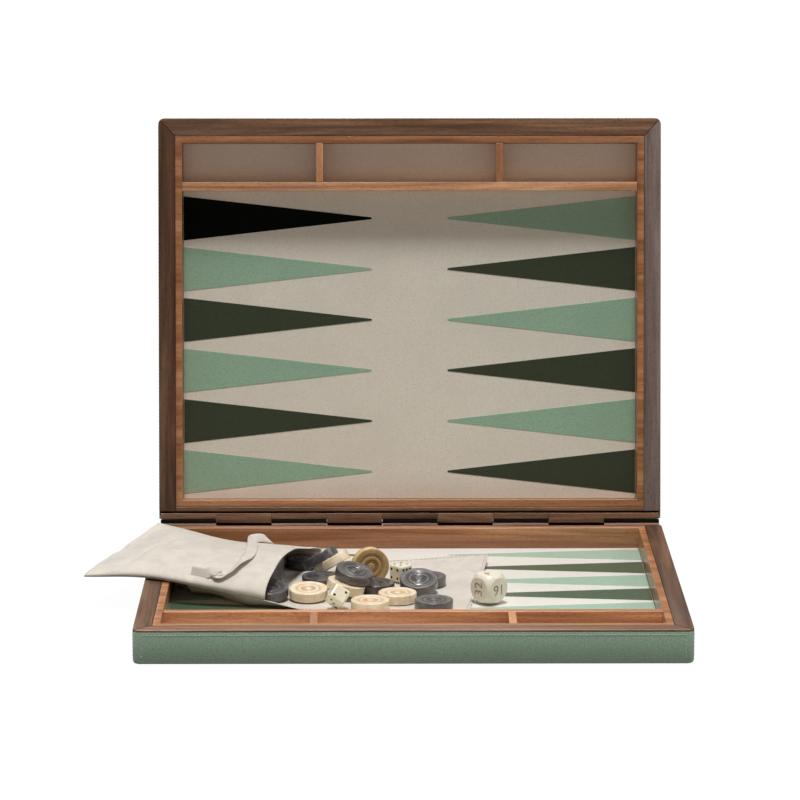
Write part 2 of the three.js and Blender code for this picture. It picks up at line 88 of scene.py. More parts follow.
RAIL_EDGE = 0.7 * MM
LINER_EDGE = 0.4 * MM
LEATHER_EDGE = 0.5 * MM
HINGE_EDGE = 0.2 * MM
POINTS_PER_SIDE = 6
POINT_BASE = 44 * MM
POINT_PITCH = 50.7 * MM
POINT_LENGTH = 188 * MM
POINT_TIP = 1.8 * MM
INLAY = 0.3 * MM
SHADE_PAINTED_POINTS = {"base": (), "lid": ((1, 0),)}  # painted shade: one of the lid's dark points gets near-black leather, as it lies in deep shade
STITCH_PITCH = 3.6 * MM
STITCH = Vector((1.35 * MM, 0.4 * MM, 0.35 * MM))  # half length, half width and half height
STITCH_INSET = 2.6 * MM
DIE_ROUNDING = 2.6 * MM
PIP_R = 1.35 * MM
PIP_DEPTH = 0.5 * MM
CUBE_ROUNDING = 3.0 * MM
CUBE_BALL = 1.3  # radius of the ball that cuts the doubling cube's corners, in halves of its size
NUMERAL = 14.0 * MM
NUMERAL_WEIGHT = 0.12 * MM
UPPER_NUMERAL = 9.0 * MM  # the two-figure numeral that faces up is smaller
ENGRAVING = 0.5 * MM
CUBE_GRID = 36  # squares along each edge of a die or the doubling cube
BEVEL_ANGLE = math.radians(30)
CRISP_ANGLE = math.radians(35)  # sharper folds between smooth faces are shown as edges


# ---- procedural materials --------------------------------------------


class Finish:
    """A principled material and short calls for wiring its nodes."""

    def __init__(self, name, roughness, coat=0.0):
        self.material = bpy.data.materials.new(name)
        self.material.use_nodes = True
        self.tree = self.material.node_tree
        self.shader = self.tree.nodes["Principled BSDF"]
        self.set("Roughness", roughness)
        self.set("Coat Weight", coat)
        self.set("Coat Roughness", 0.25)

    def set(self, socket, value):
        self.feed(self.shader.inputs[socket], value)

    def feed(self, socket, value):
        if isinstance(value, bpy.types.NodeSocket):
            self.tree.links.new(value, socket)
        else:
            socket.default_value = value

    def node(self, kind, inputs, **settings):
        made = self.tree.nodes.new("ShaderNode" + kind)
        for name, value in settings.items():
            setattr(made, name, value)
        for name, value in inputs.items():
            self.feed(made.inputs[name], value)
        return made

    def coordinates(self, scale=(1, 1, 1)):
        places = self.node("TexCoord", {}).outputs["Object"]
        return self.node("Mapping", {"Vector": places, "Scale": scale}).outputs["Vector"]

    def noise(self, scale, stretch=(1, 1, 1), detail=4.0, roughness=0.55, distortion=0.0):
        inputs = {
            "Vector": self.coordinates(stretch),
            "Scale": scale,
            "Detail": detail,
            "Roughness": roughness,
            "Distortion": distortion,
        }
        return self.node("TexNoise", inputs).outputs["Fac"]

    def cells(self, scale):
        inputs = {"Vector": self.coordinates(), "Scale": scale}
        return self.node("TexVoronoi", inputs).outputs["Distance"]

    def ramp(self, factor, *stops):
        made = self.node("ValToRGB", {"Fac": factor})
        ramp = made.color_ramp
        while len(ramp.elements) < len(stops):
            ramp.elements.new(1.0)
        for element, (place, color) in zip(ramp.elements, stops):
            element.position = place
            element.color = (*color, 1.0)
        return made.outputs["Color"]

    def mix(self, factor, first, second):
        made = self.tree.nodes.new("ShaderNodeMix")
        made.data_type = "RGBA"
        self.feed(made.inputs[0], factor)
        self.feed(made.inputs[6], first if isinstance(first, bpy.types.NodeSocket) else (*first, 1.0))
        self.feed(made.inputs[7], second if isinstance(second, bpy.types.NodeSocket) else (*second, 1.0))
        return made.outputs[2]

    def span(self, value, low, high, out_low, out_high):
        inputs = {"Value": value, "From Min": low, "From Max": high, "To Min": out_low, "To Max": out_high}
        return self.node("MapRange", inputs).outputs["Result"]

    def add(self, first, second, share):
        made = self.node("Math", {}, operation="MULTIPLY_ADD")
        self.feed(made.inputs[0], second)
        self.feed(made.inputs[1], share)
        self.feed(made.inputs[2], first)
        return made.outputs["Value"]

    def bump(self, height, distance, strength=1.0):
        inputs = {"Height": height, "Distance": distance, "Strength": strength}
        self.set("Normal", self.node("Bump", inputs).outputs["Normal"])


LEATHER_RELIEF = 0.1 * MM
CASE_PEBBLE = 0.95 * MM
FIELD_PEBBLE = 1.1 * MM
DULL_SPECULAR = 0.08
GRAIN_STRETCH = 0.045  # how much slower the grain changes along the wood than across it


def grain_stretch(axis):
    return tuple(GRAIN_STRETCH if i == axis else 1.0 for i in range(3))


def wood(name, axis, dark, middle, light, roughness, coat=0.15, coat_roughness=0.25):
    """Sawn and oiled wood whose grain runs along one axis, with bands, pores and a little bump."""
    finish = Finish(name, roughness, coat)
    finish.set("Coat Roughness", coat_roughness)
    stretch = grain_stretch(axis)
    bands = finish.noise(75, stretch, detail=7, roughness=0.6, distortion=0.9)
    color = finish.ramp(bands, (0.34, dark), (0.5, middle), (0.67, light))
    streaks = finish.noise(420, stretch, detail=3)
    color = finish.mix(finish.span(streaks, 0.42, 0.62, 0.0, 0.32), color, dark)
    pores = finish.noise(1500, tuple(3 * s if s < 1 else s for s in stretch), detail=2)
    color = finish.mix(finish.span(pores, 0.56, 0.68, 0.0, 0.5), color, tuple(0.35 * c for c in dark))
    finish.set("Base Color", color)
    finish.set("Roughness", finish.span(bands, 0.3, 0.7, roughness + 0.08, roughness - 0.05))
    finish.bump(finish.add(streaks, pores, -0.8), 0.06 * MM, 0.5)
    return finish.material


def leather(name, color, crease, cell_size, roughness, sheen=0.2):
    """Pebbled leather: rounded cells with darker creases, faint blotches and a satin surface."""
    finish = Finish(name, roughness, 1.0)
    finish.set("Coat Roughness", 0.27)
    warp = finish.noise(1 / (3 * cell_size), detail=2)
    cells = finish.add(finish.cells(1 / cell_size), warp, 0.35)
    blotches = finish.noise(18, detail=2)
    toned = finish.mix(finish.span(blotches, 0.35, 0.65, 0.0, 1.0), tuple(0.95 * c for c in color), color)
    finish.set("Base Color", finish.mix(finish.span(cells, 0.6, 1.0, 0.0, 0.7), toned, crease))
    finish.set("Roughness", finish.span(cells, 0.3, 0.9, roughness - 0.04, roughness + 0.1))
    finish.set("Sheen Weight", sheen)
    finish.set("Sheen Roughness", 0.35)
    fine = finish.noise(4 / cell_size, detail=2)
    height = finish.add(finish.span(cells, 0.15, 0.95, 1.0, 0.0), fine, 0.12)
    finish.bump(height, LEATHER_RELIEF, 0.7)
    return finish.material


def field_leather(name, color, crease, roughness=0.5, sheen=0.2):
    return leather(name, color, crease, FIELD_PEBBLE, roughness, sheen)


def suede(name, color):
    """Napped suede: soft blotches where the nap lies over, fine fibres and a velvety sheen."""
    finish = Finish(name, 0.95)
    nap = finish.noise(55, detail=5, roughness=0.65, distortion=0.6)
    toned = finish.mix(finish.span(nap, 0.36, 0.64, 0.0, 1.0), tuple(0.84 * c for c in color), color)
    fibres = finish.noise(1900, detail=3, roughness=0.7)
    shadow = tuple(0.6 * c for c in color)
    finish.set("Base Color", finish.mix(finish.span(fibres, 0.4, 0.62, 0.22, 0.0), toned, shadow))
    finish.set("Sheen Weight", 0.35)
    finish.set("Sheen Roughness", 0.5)
    finish.bump(finish.add(fibres, nap, 0.6), 0.22 * MM, 0.55)
    return finish.material


def turned_wood(name, dark, middle, light, groove, roughness, coat):
    """Polished turned wood. The mesh's groove attribute darkens the turned rings."""
    finish = Finish(name, roughness, coat)
    finish.set("Coat Roughness", 0.26)
    shift = finish.node("ObjectInfo", {}).outputs["Random"]
    bands = finish.noise(190, (1.0, 0.12, 1.0), detail=5, roughness=0.6, distortion=0.7)
    color = finish.ramp(bands, (0.3, dark), (0.5, middle), (0.7, light))
    color = finish.mix(finish.span(shift, 0, 1, 0.0, 0.4), color, middle)
    color = finish.mix(finish.span(finish.noise(1700, (1, 0.15, 1), 2), 0.5, 0.66, 0.0, 0.35), color, dark)
    grooves = finish.node("Attribute", {}, attribute_name="groove").outputs["Fac"]
    finish.set("Base Color", finish.mix(finish.span(grooves, 0, 1, 0.0, 0.75), color, groove))
    finish.set("Roughness", finish.span(bands, 0.3, 0.7, roughness + 0.06, roughness - 0.04))
    finish.bump(bands, 0.03 * MM, 0.3)
    return finish.material


def resin(name, color, vein, roughness):
    """Cast resin that imitates ivory: faint veins, a soft depth and a polished skin."""
    finish = Finish(name, roughness, 0.3)
    veins = finish.noise(420, (1, 1, 0.6), detail=4, distortion=0.6)
    finish.set("Base Color", finish.ramp(veins, (0.3, vein), (0.6, color)))
    finish.set("Subsurface Weight", 0.12)
    finish.set("Subsurface Radius", (1.5 * MM, 1.2 * MM, 0.8 * MM))
    finish.set("Subsurface Scale", 1.0)
    finish.bump(finish.noise(900, detail=2), 0.02 * MM, 0.3)
    return finish.material


def paint(name, color, roughness):
    """Paint rubbed into pips and numerals."""
    finish = Finish(name, roughness)
    speckle = finish.noise(1200, detail=3)
    finish.set("Base Color", finish.ramp(speckle, (0.4, tuple(0.6 * c for c in color)), (0.7, color)))
    finish.bump(speckle, 0.04 * MM, 0.3)
    return finish.material


def thread(name, color):
    """Twisted linen thread."""
    finish = Finish(name, 0.8)
    inputs = {"Vector": finish.coordinates(), "Scale": 1400.0, "Distortion": 0.6}
    twist = finish.node("TexWave", inputs, bands_direction="DIAGONAL").outputs["Fac"]
    finish.set("Base Color", finish.ramp(twist, (0.2, tuple(0.65 * c for c in color)), (0.8, color)))
    finish.bump(twist, 0.08 * MM, 0.6)
    return finish.material


def plywood(name, pale, brown):
    """Plain plywood with its plies showing at the edge."""
    finish = Finish(name, 0.75)
    plies = finish.noise(1, (6, 6, 900), detail=1)
    face = finish.noise(90, (0.06, 1, 1), detail=5)
    color = finish.mix(finish.span(plies, 0.42, 0.58, 0, 1), pale, brown)
    finish.set("Base Color", finish.mix(finish.span(face, 0.35, 0.7, 0.0, 0.45), color, brown))
    finish.bump(face, 0.1 * MM, 0.4)
    return finish.material


def steel(name, color):
    """Darkened steel rod, drawn along its length."""
    finish = Finish(name, 0.35)
    drawn = finish.noise(1800, (0.02, 1, 1), detail=3)
    finish.set("Metallic", 0.9)
    finish.set("Base Color", finish.ramp(drawn, (0.3, tuple(0.5 * c for c in color)), (0.7, color)))
    finish.set("Roughness", finish.span(drawn, 0.3, 0.7, 0.28, 0.5))
    finish.bump(drawn, 0.02 * MM, 0.5)
    return finish.material


def dull(material):
    """Take the shine off a near-black material that is painted shade."""
    sockets = material.node_tree.nodes["Principled BSDF"].inputs
    sockets["Specular IOR Level"].default_value = DULL_SPECULAR
    sockets["Coat Weight"].default_value = 0.0


POLISH = {"roughness": 0.4, "coat": 0.45, "coat_roughness": 0.13}
# Each wood's dark, middle and light tones.
WALNUT_TONES = ((0.043, 0.017, 0.008), (0.135, 0.058, 0.026), (0.27, 0.138, 0.07))
# Paler walnut: painted light, given to every walnut piece along X, the front rail, the rear strip and the hinge
# strip's front.
WALNUT_PAINTED_LIGHT_TONES = ((0.08, 0.033, 0.016), (0.235, 0.108, 0.054), (0.43, 0.235, 0.135))
# Greyer walnut: painted reflection of light from the right, for the lid's right rail.
WALNUT_PAINTED_REFLECTION_TONES = ((0.15, 0.1, 0.085), (0.27, 0.19, 0.17), (0.38, 0.29, 0.265))
LINER_TONES = ((0.26, 0.095, 0.034), (0.49, 0.205, 0.08), (0.66, 0.33, 0.155))
# Liner wood made paler for the long rails and dividers: partly the wood, partly painted light for their lit faces
# and sheen.
RAIL_PAINTED_LIGHT_TONES = ((0.38, 0.145, 0.06), (0.72, 0.33, 0.15), (0.88, 0.5, 0.27))
# Paler still for the lid's long rail: painted light on its lit front face.
LID_RAIL_PAINTED_LIGHT_TONES = ((0.44, 0.19, 0.09), (0.82, 0.43, 0.23), (0.95, 0.62, 0.4))
# The near-black tones are painted shade for the hinge's recess round the knuckles.
RECESS_SHADE_TONES = ((0.002, 0.001, 0.001), (0.004, 0.003, 0.002), (0.008, 0.005, 0.004))
WALNUT_X_PAINTED_LIGHT = wood("walnut_along_x_painted_light", 0, *WALNUT_PAINTED_LIGHT_TONES, roughness=0.42, coat=0.6, coat_roughness=0.24)
WALNUT_Y = wood("walnut_along_y", 1, *WALNUT_TONES, roughness=0.42, coat=0.2, coat_roughness=0.2)
WALNUT_Y_PAINTED_REFLECTION = wood("walnut_along_y_painted_reflection", 1, *WALNUT_PAINTED_REFLECTION_TONES, roughness=0.36)
WALNUT_PAINTED_SHADE = wood("walnut_painted_shade", 0, *RECESS_SHADE_TONES, roughness=0.85, coat=0.0)
LINER_X = wood("liner_wood_along_x", 0, *LINER_TONES, **POLISH)
LINER_Y = wood("liner_wood_along_y", 1, *LINER_TONES, **POLISH)
RAIL_X_PAINTED_LIGHT = wood("rail_wood_along_x_painted_light", 0, *RAIL_PAINTED_LIGHT_TONES, **POLISH)
LID_RAIL_X_PAINTED_LIGHT = wood("lid_rail_wood_along_x_painted_light", 0, *LID_RAIL_PAINTED_LIGHT_TONES, **POLISH)
RAIL_Y_PAINTED_LIGHT = wood("rail_wood_along_y_painted_light", 1, *RAIL_PAINTED_LIGHT_TONES, **POLISH)
CASE_LEATHER = leather("case_leather", (0.38, 0.55, 0.4), (0.2, 0.31, 0.21), CASE_PEBBLE, 0.5)
CREAM_LEATHER = field_leather("field_leather", (0.85, 0.79, 0.68), (0.7, 0.64, 0.53), 0.6)
LIGHT_POINT = field_leather("light_point_leather", (0.34, 0.52, 0.37), (0.24, 0.38, 0.26))
DARK_POINT = field_leather("dark_point_leather", (0.024, 0.038, 0.01), (0.014, 0.023, 0.006), 0.5, 0.08)
# Near-black leather: painted shade for a point that lies in deep shade.
POINT_PAINTED_SHADE = field_leather("point_leather_painted_shade", (0.002, 0.003, 0.002), (0.001, 0.002, 0.001), 0.7, 0.0)
# Paler copies of the field leathers for the base: painted sheen and reflection of light at a grazing view.
BASE_CREAM_PAINTED_SHEEN = field_leather("base_field_leather_painted_sheen", (0.94, 0.92, 0.86), (0.8, 0.77, 0.7), 0.6)
BASE_LIGHT_POINT_PAINTED_SHEEN = field_leather("base_light_point_leather_painted_sheen", (0.44, 0.64, 0.5), (0.33, 0.5, 0.38))
BASE_DARK_POINT_PAINTED_SHEEN = field_leather("base_dark_point_leather_painted_sheen", (0.055, 0.12, 0.062), (0.035, 0.08, 0.04))
# Each tray's leathers for the ground, the light points and the dark ones. The base's are paler than the lid's:
# painted sheen, for the light its field reflects at a grazing view.
FIELD_LEATHERS = {
    "base": (BASE_CREAM_PAINTED_SHEEN, BASE_LIGHT_POINT_PAINTED_SHEEN, BASE_DARK_POINT_PAINTED_SHEEN),
    "lid": (CREAM_LEATHER, LIGHT_POINT, DARK_POINT),
}
for unlit in (WALNUT_PAINTED_SHADE, POINT_PAINTED_SHADE):
    dull(unlit)
SUEDE = suede("suede", (0.74, 0.68, 0.6))
# Dark suede: painted shade for the pouch's inside, which lies in shade.
SUEDE_PAINTED_SHADE = suede("suede_inside_painted_shade", (0.1, 0.088, 0.075))
SUEDE_STRAP = suede("suede_strap", (0.74, 0.68, 0.6))
BOXWOOD = turned_wood(
    "boxwood", (0.69, 0.5, 0.3), (0.92, 0.77, 0.55), (0.98, 0.89, 0.71), (0.42, 0.24, 0.12), 0.34, 0.5,
)
# A darker, deeper gold boxwood: painted shade for the upright checker, which faces away from the light.
BOXWOOD_PAINTED_SHADE = turned_wood(
    "boxwood_painted_shade", (0.52, 0.32, 0.12), (0.7, 0.47, 0.2), (0.85, 0.63, 0.34), (0.3, 0.15, 0.05), 0.34, 0.5,
)
EBONISED = turned_wood(
    "ebonised_wood", (0.036, 0.033, 0.037), (0.078, 0.072, 0.079), (0.15, 0.138, 0.145), (0.01, 0.009, 0.009),
    0.32, 1.0,
)
IVORY = resin("ivory_resin", (0.86, 0.81, 0.64), (0.8, 0.73, 0.53), 0.25)
CUBE_RESIN = resin("cube_resin", (0.86, 0.81, 0.68), (0.8, 0.73, 0.57), 0.32)
PIP_BLACK = paint("pip_black", (0.012, 0.011, 0.01), 0.4)
NUMERAL_BROWN = paint("numeral_brown", (0.62, 0.49, 0.31), 0.6)
PALE_THREAD = thread("pale_thread", (0.62, 0.7, 0.58))
SUEDE_THREAD = thread("suede_thread", (0.5, 0.44, 0.38))
PLYWOOD = plywood("board_wood", (0.52, 0.38, 0.22), (0.3, 0.18, 0.09))
STEEL = steel("dark_steel", (0.12, 0.12, 0.13))


# ---- building blocks -------------------------------------------------


def add_piece(name, mesh, body, finishes, place=None):
    """A new object for the mesh, placed, riding on a body and painted, unless the mesh is painted already."""
    piece = bpy.data.objects.new(name, mesh)
    bpy.context.scene.collection.objects.link(piece)
    if place is not None:
        piece.matrix_world = place
    if finishes:
        mesh.materials.clear()
    for finish in finishes:
        mesh.materials.append(finish)
    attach(piece, body)
    return piece


def mesh_from(points, faces, name="shape"):
    mesh = bpy.data.meshes.new(name)
    mesh.from_pydata([tuple(p) for p in points], [], faces)
    mesh.update()
    return mesh


def smooth(mesh):
    mesh.polygons.foreach_set("use_smooth", [True] * len(mesh.polygons))
    return mesh


def round_edges(piece, width, segments=3):
    """A narrow bevel on every edge that isn't nearly flat."""
    bevel = piece.modifiers.new("rounded_edges", "BEVEL")
    bevel.width = width
    bevel.segments = segments
    bevel.limit_method = "ANGLE"
    bevel.angle_limit = BEVEL_ANGLE
    bevel.harden_normals = True
    smooth(piece.data)


def baked_mesh(piece):
    """The piece's mesh with its modifiers applied."""
    graph = bpy.context.evaluated_depsgraph_get()
    return bpy.data.meshes.new_from_object(piece.evaluated_get(graph))


def cut_out(mesh, cutter_mesh, finish, cutter_finish):
    """The mesh less the cutter, with the cut faces in the cutter's finish."""
    whole = bpy.data.objects.new("whole", mesh)
    cutter = bpy.data.objects.new("cutter", cutter_mesh)
    for scratch, paint_with in ((whole, finish), (cutter, cutter_finish)):
        bpy.context.scene.collection.objects.link(scratch)
        scratch.data.materials.clear()
        scratch.data.materials.append(paint_with)
    difference = whole.modifiers.new("cut", "BOOLEAN")
    difference.operation = "DIFFERENCE"
    difference.solver = "EXACT"
    difference.material_mode = "TRANSFER"
    difference.object = cutter
    result = baked_mesh(whole)
    for scratch in (whole, cutter):
        bpy.data.objects.remove(scratch)
    smooth(result)
    result.set_sharp_from_angle(angle=CRISP_ANGLE)
    return result


def tray_copy(node, tray):
    """A CAD node's mesh in tray coordinates, with its facets joined into flat faces."""
    mesh = NODES[node].data.copy()
    mesh.transform(TRAYS[tray].inverted())
    shape = bmesh.new()
    shape.from_mesh(mesh)
    bmesh.ops.remove_doubles(shape, verts=shape.verts, dist=0.005 * MM)
    bmesh.ops.dissolve_limit(shape, angle_limit=math.radians(0.5), verts=shape.verts, edges=shape.edges)
    shape.to_mesh(mesh)
    shape.free()
    return mesh


def repaint(node, finish):
    """A CAD node keeps its shape and gets a finish."""
    NODES[node].data.materials.clear()
    NODES[node].data.materials.append(finish)


# ---- the trays -------------------------------------------------------


def finish_wooden_part(tray, part, finish, edge):
    node = f"{tray}_{part}"
    piece = add_piece(node + "_wood", tray_copy(node, tray), tray, [finish], TRAYS[tray])
    round_edges(piece, edge)
    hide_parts(node)
    return piece


def finish_liner_frame(tray):
    """The liner's long sides have their grain along X and its short sides along Y."""
    piece = finish_wooden_part(tray, "liner_frame", LINER_X, LINER_EDGE)
    piece.data.materials.append(LINER_Y)
    for face in piece.data.polygons:
        across = abs(face.center.x) > FIELD_HIGH.x - GAP
        face.material_index = 1 if across else 0


def finish_hinge_strip(tray):
    """Walnut in front, and near-black walnut round the knuckles: painted shade for the hinge's recess."""
    piece = finish_wooden_part(tray, "hinge_strip", WALNUT_X_PAINTED_LIGHT, HINGE_EDGE)
    piece.data.materials.append(WALNUT_PAINTED_SHADE)
    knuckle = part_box("base_hinge_strip")[1].y - HINGE_POINT.y
    for face in piece.data.polygons:
        if face.center.y > HINGE_POINT.y - knuckle - GAP:
            face.material_index = 1


def finish_cover(tray):
    """The leather that wraps the tray's outside."""
    node = tray + "_leather_cover"
    mesh = tray_copy(node, tray)
    piece = add_piece(node + "_grain", mesh, tray, [CASE_LEATHER], TRAYS[tray])
    round_edges(piece, LEATHER_EDGE)
    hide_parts(node)


def grain_template():
    """A unit ball: the points and faces of one stitch before it is scaled."""
    shape = bmesh.new()
    bmesh.ops.create_uvsphere(shape, u_segments=8, v_segments=6, radius=1.0)
    shape.verts.index_update()
    points = np.array([v.co for v in shape.verts])
    faces = [tuple(v.index for v in face.verts) for face in shape.faces]
    shape.free()
    return points, faces


def stitch_mesh(places, name):
    """One mesh of many stitches, each a middle, a direction along and a direction outward."""
    ball, ball_faces = grain_template()
    points = []
    faces = []
    for middle, along, outward in places:
        axes = np.array([along * STITCH.x, outward.cross(along) * STITCH.y, outward * STITCH.z])
        first = len(points)
        points.extend(ball @ axes + np.array(middle))
        faces += [tuple(first + i for i in face) for face in ball_faces]
    return smooth(mesh_from(points, faces, name))


def stitch_line(start, end, outward):
    """The places of stitches from start to end, half sunk in the leather."""
    run = end - start
    count = round(run.length / STITCH_PITCH)
    along = run.normalized()
    return [(start + run * ((i + 0.5) / count), along, outward) for i in range(count)]


def stitch_cover(tray):
    """A row below the rim on the front and both sides, and a column at each end of them."""
    left, right = COVER_LOW.x, COVER_HIGH.x
    front, back = COVER_LOW.y, COVER_HIGH.y
    up = Vector((0, 0, COVER_HIGH.z - STITCH_INSET))
    down = Vector((0, 0, COVER_LOW.z + 2 * STITCH_INSET))
    end = 3 * STITCH_INSET
    sides = (
        (Vector((left + end, front, 0)), Vector((right - end, front, 0)), Vector((0, -1, 0))),
        (Vector((right, front + end, 0)), Vector((right, back - end, 0)), Vector((1, 0, 0))),
        (Vector((left, back - end, 0)), Vector((left, front + end, 0)), Vector((-1, 0, 0))),
    )
    places = []
    for start, finish, outward in sides:
        places += stitch_line(start + up, finish + up, outward)
        places += stitch_line(start + down, start + up, outward)
        places += stitch_line(finish + down, finish + up, outward)
    mesh = stitch_mesh(places, "stitches")
    add_piece(tray + "_cover_stitches", mesh, tray, [PALE_THREAD], TRAYS[tray])


def point_outline(side, row):
    """The corners of one point: its base is against the liner, and its tip is blunt."""
    middle = (RAIL_HIGH.y + FIELD_HIGH.y) / 2
    centre = middle + (row - (POINTS_PER_SIDE - 1) / 2) * POINT_PITCH
    base_x = side * (FIELD_HIGH.x - GAP)
    tip_x = base_x - side * POINT_LENGTH
    outline = [
        (base_x, centre - POINT_BASE / 2),
        (base_x, centre + POINT_BASE / 2),
        (tip_x, centre + POINT_TIP / 2),
        (tip_x, centre - POINT_TIP / 2),
    ]
    return outline if side < 0 else outline[::-1]


def inlay_points(tray, name, finish, places):
    """The points at the places, each a side of the field and a row from the front."""
    points = []
    faces = []
    for side, row in places:
        outline = point_outline(side, row)
        first = len(points)
        points += [(x, y, FIELD_HIGH.z - INLAY) for x, y in outline]
        points += [(x, y, FIELD_HIGH.z + INLAY) for x, y in outline]
        faces += [(first, first + 1, first + 2, first + 3), (first + 7, first + 6, first + 5, first + 4)]
        faces += [(first + i, first + 4 + i, first + 4 + (i + 1) % 4, first + (i + 1) % 4) for i in range(4)]
    mesh = mesh_from(points, faces, name)
    shape = bmesh.new()
    shape.from_mesh(mesh)
    bmesh.ops.recalc_face_normals(shape, faces=shape.faces)
    shape.to_mesh(mesh)
    shape.free()
    piece = add_piece(f"{tray}_{name}", mesh, tray, [finish], TRAYS[tray])
    round_edges(piece, 0.5 * INLAY, 2)


def finish_field(tray):
    """The ground, with light and dark points in turn; the front left one is light in the tray's own frame."""
    places = [(side, row) for side in (-1, 1) for row in range(POINTS_PER_SIDE)]
    light = [(side, row) for side, row in places if (row % 2 == 0) == (side < 0)]
    # The points listed for the tray get near-black leather instead of dark: painted shade.
    black = SHADE_PAINTED_POINTS[tray]
    dark = [place for place in places if place not in light and place not in black]
    ground_finish, light_finish, dark_finish = FIELD_LEATHERS[tray]
    repaint(tray + "_playing_field", ground_finish)
    inlay_points(tray, "light_points", light_finish, light)
    inlay_points(tray, "dark_points", dark_finish, dark)
    if black:
        inlay_points(tray, "black_points", POINT_PAINTED_SHADE, black)


def dress_tray(tray):
    # The lid's right rail gets the greyer walnut: painted reflection of light from the right.
    side_finishes = {"left_rail": WALNUT_Y, "right_rail": WALNUT_Y_PAINTED_REFLECTION if tray == "lid" else WALNUT_Y}
    finish_wooden_part(tray, "front_rail", WALNUT_X_PAINTED_LIGHT, RAIL_EDGE)
    for part, finish in side_finishes.items():
        finish_wooden_part(tray, part, finish, RAIL_EDGE)
    finish_wooden_part(tray, "rear_strip", WALNUT_X_PAINTED_LIGHT, LINER_EDGE)
    # The lid's long rail gets the palest rail wood: painted light.
    long_rail_finish = LID_RAIL_X_PAINTED_LIGHT if tray == "lid" else RAIL_X_PAINTED_LIGHT
    finish_wooden_part(tray, "long_rail", long_rail_finish, LINER_EDGE)
    for part in ("left_divider", "right_divider"):
        finish_wooden_part(tray, part, RAIL_Y_PAINTED_LIGHT, LINER_EDGE)
    finish_liner_frame(tray)
    finish_hinge_strip(tray)
    finish_cover(tray)
    stitch_cover(tray)
    finish_field(tray)
    repaint(tray + "_bottom_board", PLYWOOD)


# ---- checkers --------------------------------------------------------

RIM_ROUNDING = 0.9 * MM
DISH = 0.35 * MM  # how far the middle of a face is sunk
DISH_FROM, DISH_TO = 0.55, 0.9
DARKEST_GROOVE = 0.6  # millimetres deep
SPIN_STEP = 2.4  # radians from one checker's grain to the next one's
# Each turned ring's share of the radius, its width as such a share, and its depth in millimetres.
RING_GROOVES = ((0.24, 0.05, 0.7), (0.35, 0.045, 0.75), (0.6, 0.035, 0.6), (0.69, 0.03, 0.3))
FACE_STEPS = 44
RIM_STEPS = 5
CHECKER_SIDES = 72


def groove_depth(share):
    """How deep the turned rings are, in millimetres, at a share of the radius."""
    return sum(depth * math.exp(-(((share - at) / width) ** 2)) for at, width, depth in RING_GROOVES)


def checker_profile():
    """Radius, height and groove darkness from the middle of the top face to the middle of the side."""
    half = CHECKER_H / 2
    flat = CHECKER_R - RIM_ROUNDING
    profile = []
    for step in range(FACE_STEPS + 1):
        radius = flat * step / FACE_STEPS
        share = radius / CHECKER_R
        dish = DISH * (1 - fade(share, DISH_FROM, DISH_TO))
        depth = groove_depth(share)
        profile.append((radius, half - dish - depth * MM, min(depth / DARKEST_GROOVE, 1.0)))
    for step in range(1, RIM_STEPS + 1):
        angle = math.pi / 2 * step / RIM_STEPS
        radius = flat + RIM_ROUNDING * math.sin(angle)
        profile.append((radius, half - RIM_ROUNDING * (1 - math.cos(angle)), 0.0))
    return profile


def fade(value, low, high):
    """A smooth step from 0 at low to 1 at high."""
    share = min(max((value - low) / (high - low), 0.0), 1.0)
    return share * share * (3 - 2 * share)


def checker_mesh():
    upper = checker_profile()
    profile = upper + [(radius, -height, depth) for radius, height, depth in reversed(upper)]
    points = []
    grooves = []
    for radius, height, depth in profile[1:-1]:
        for side in range(CHECKER_SIDES):
            angle = 2 * math.pi * side / CHECKER_SIDES
            points.append((radius * math.cos(angle), radius * math.sin(angle), height))
            grooves.append(depth)
    rings = len(profile) - 2
    top, bottom = len(points), len(points) + 1
    points += [(0, 0, profile[0][1]), (0, 0, profile[-1][1])]
    grooves += [profile[0][2], profile[-1][2]]
    faces = []
    last = (rings - 1) * CHECKER_SIDES
    for side in range(CHECKER_SIDES):
        after = (side + 1) % CHECKER_SIDES
        faces.append((top, side, after))
        faces.append((bottom, last + after, last + side))
        for ring in range(rings - 1):
            low = ring * CHECKER_SIDES
            faces.append((low + side, low + CHECKER_SIDES + side, low + CHECKER_SIDES + after, low + after))
    mesh = smooth(mesh_from(points, faces, "checker"))
    attribute = mesh.attributes.new("groove", "FLOAT", "POINT")
    attribute.data.foreach_set("value", grooves)
    return mesh


def node_points(node):
    return np.array([v.co for v in NODES[node].data.vertices], float)


def box_centre(node):
    low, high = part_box(node)
    return (low + high) / 2


def checker_place(node, spin):
    """A checker's axis is the direction in which its points spread the least."""
    points = node_points(node)
    spread = np.cov((points - points.mean(0)).T)
    axis = Vector(np.linalg.eigh(spread)[1][:, 0])
    if axis.z < 0:
        axis = -axis
    turn = axis.to_track_quat("Z", "Y").to_matrix().to_4x4()
    return Matrix.Translation(box_centre(node)) @ turn @ Matrix.Rotation(spin, 4, "Z")


def body_of_node(node):
    return next(body for body, members in frame["record"]["behaviour"]["bodies"].items() if node in members)


SHADED_CHECKER = "light_checker_4"  # painted shade: a darker, deeper gold boxwood, as this checker faces away from the light


def add_checkers():
    base_mesh = checker_mesh()
    for shade, finish, slot in (("light", BOXWOOD, "boxwood"), ("dark", EBONISED, "ebonised_wood")):
        mesh = base_mesh.copy()
        nodes = sorted(node for node in NODES if node.startswith(shade + "_checker_"))
        for index, node in enumerate(nodes):
            place = checker_place(node, SPIN_STEP * index)
            in_shade = node == SHADED_CHECKER
            own_mesh = mesh.copy() if in_shade else mesh
            own_finish = BOXWOOD_PAINTED_SHADE if in_shade else finish
            piece = add_piece(node + "_turned", own_mesh, body_of_node(node), [own_finish], place)
            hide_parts(node)


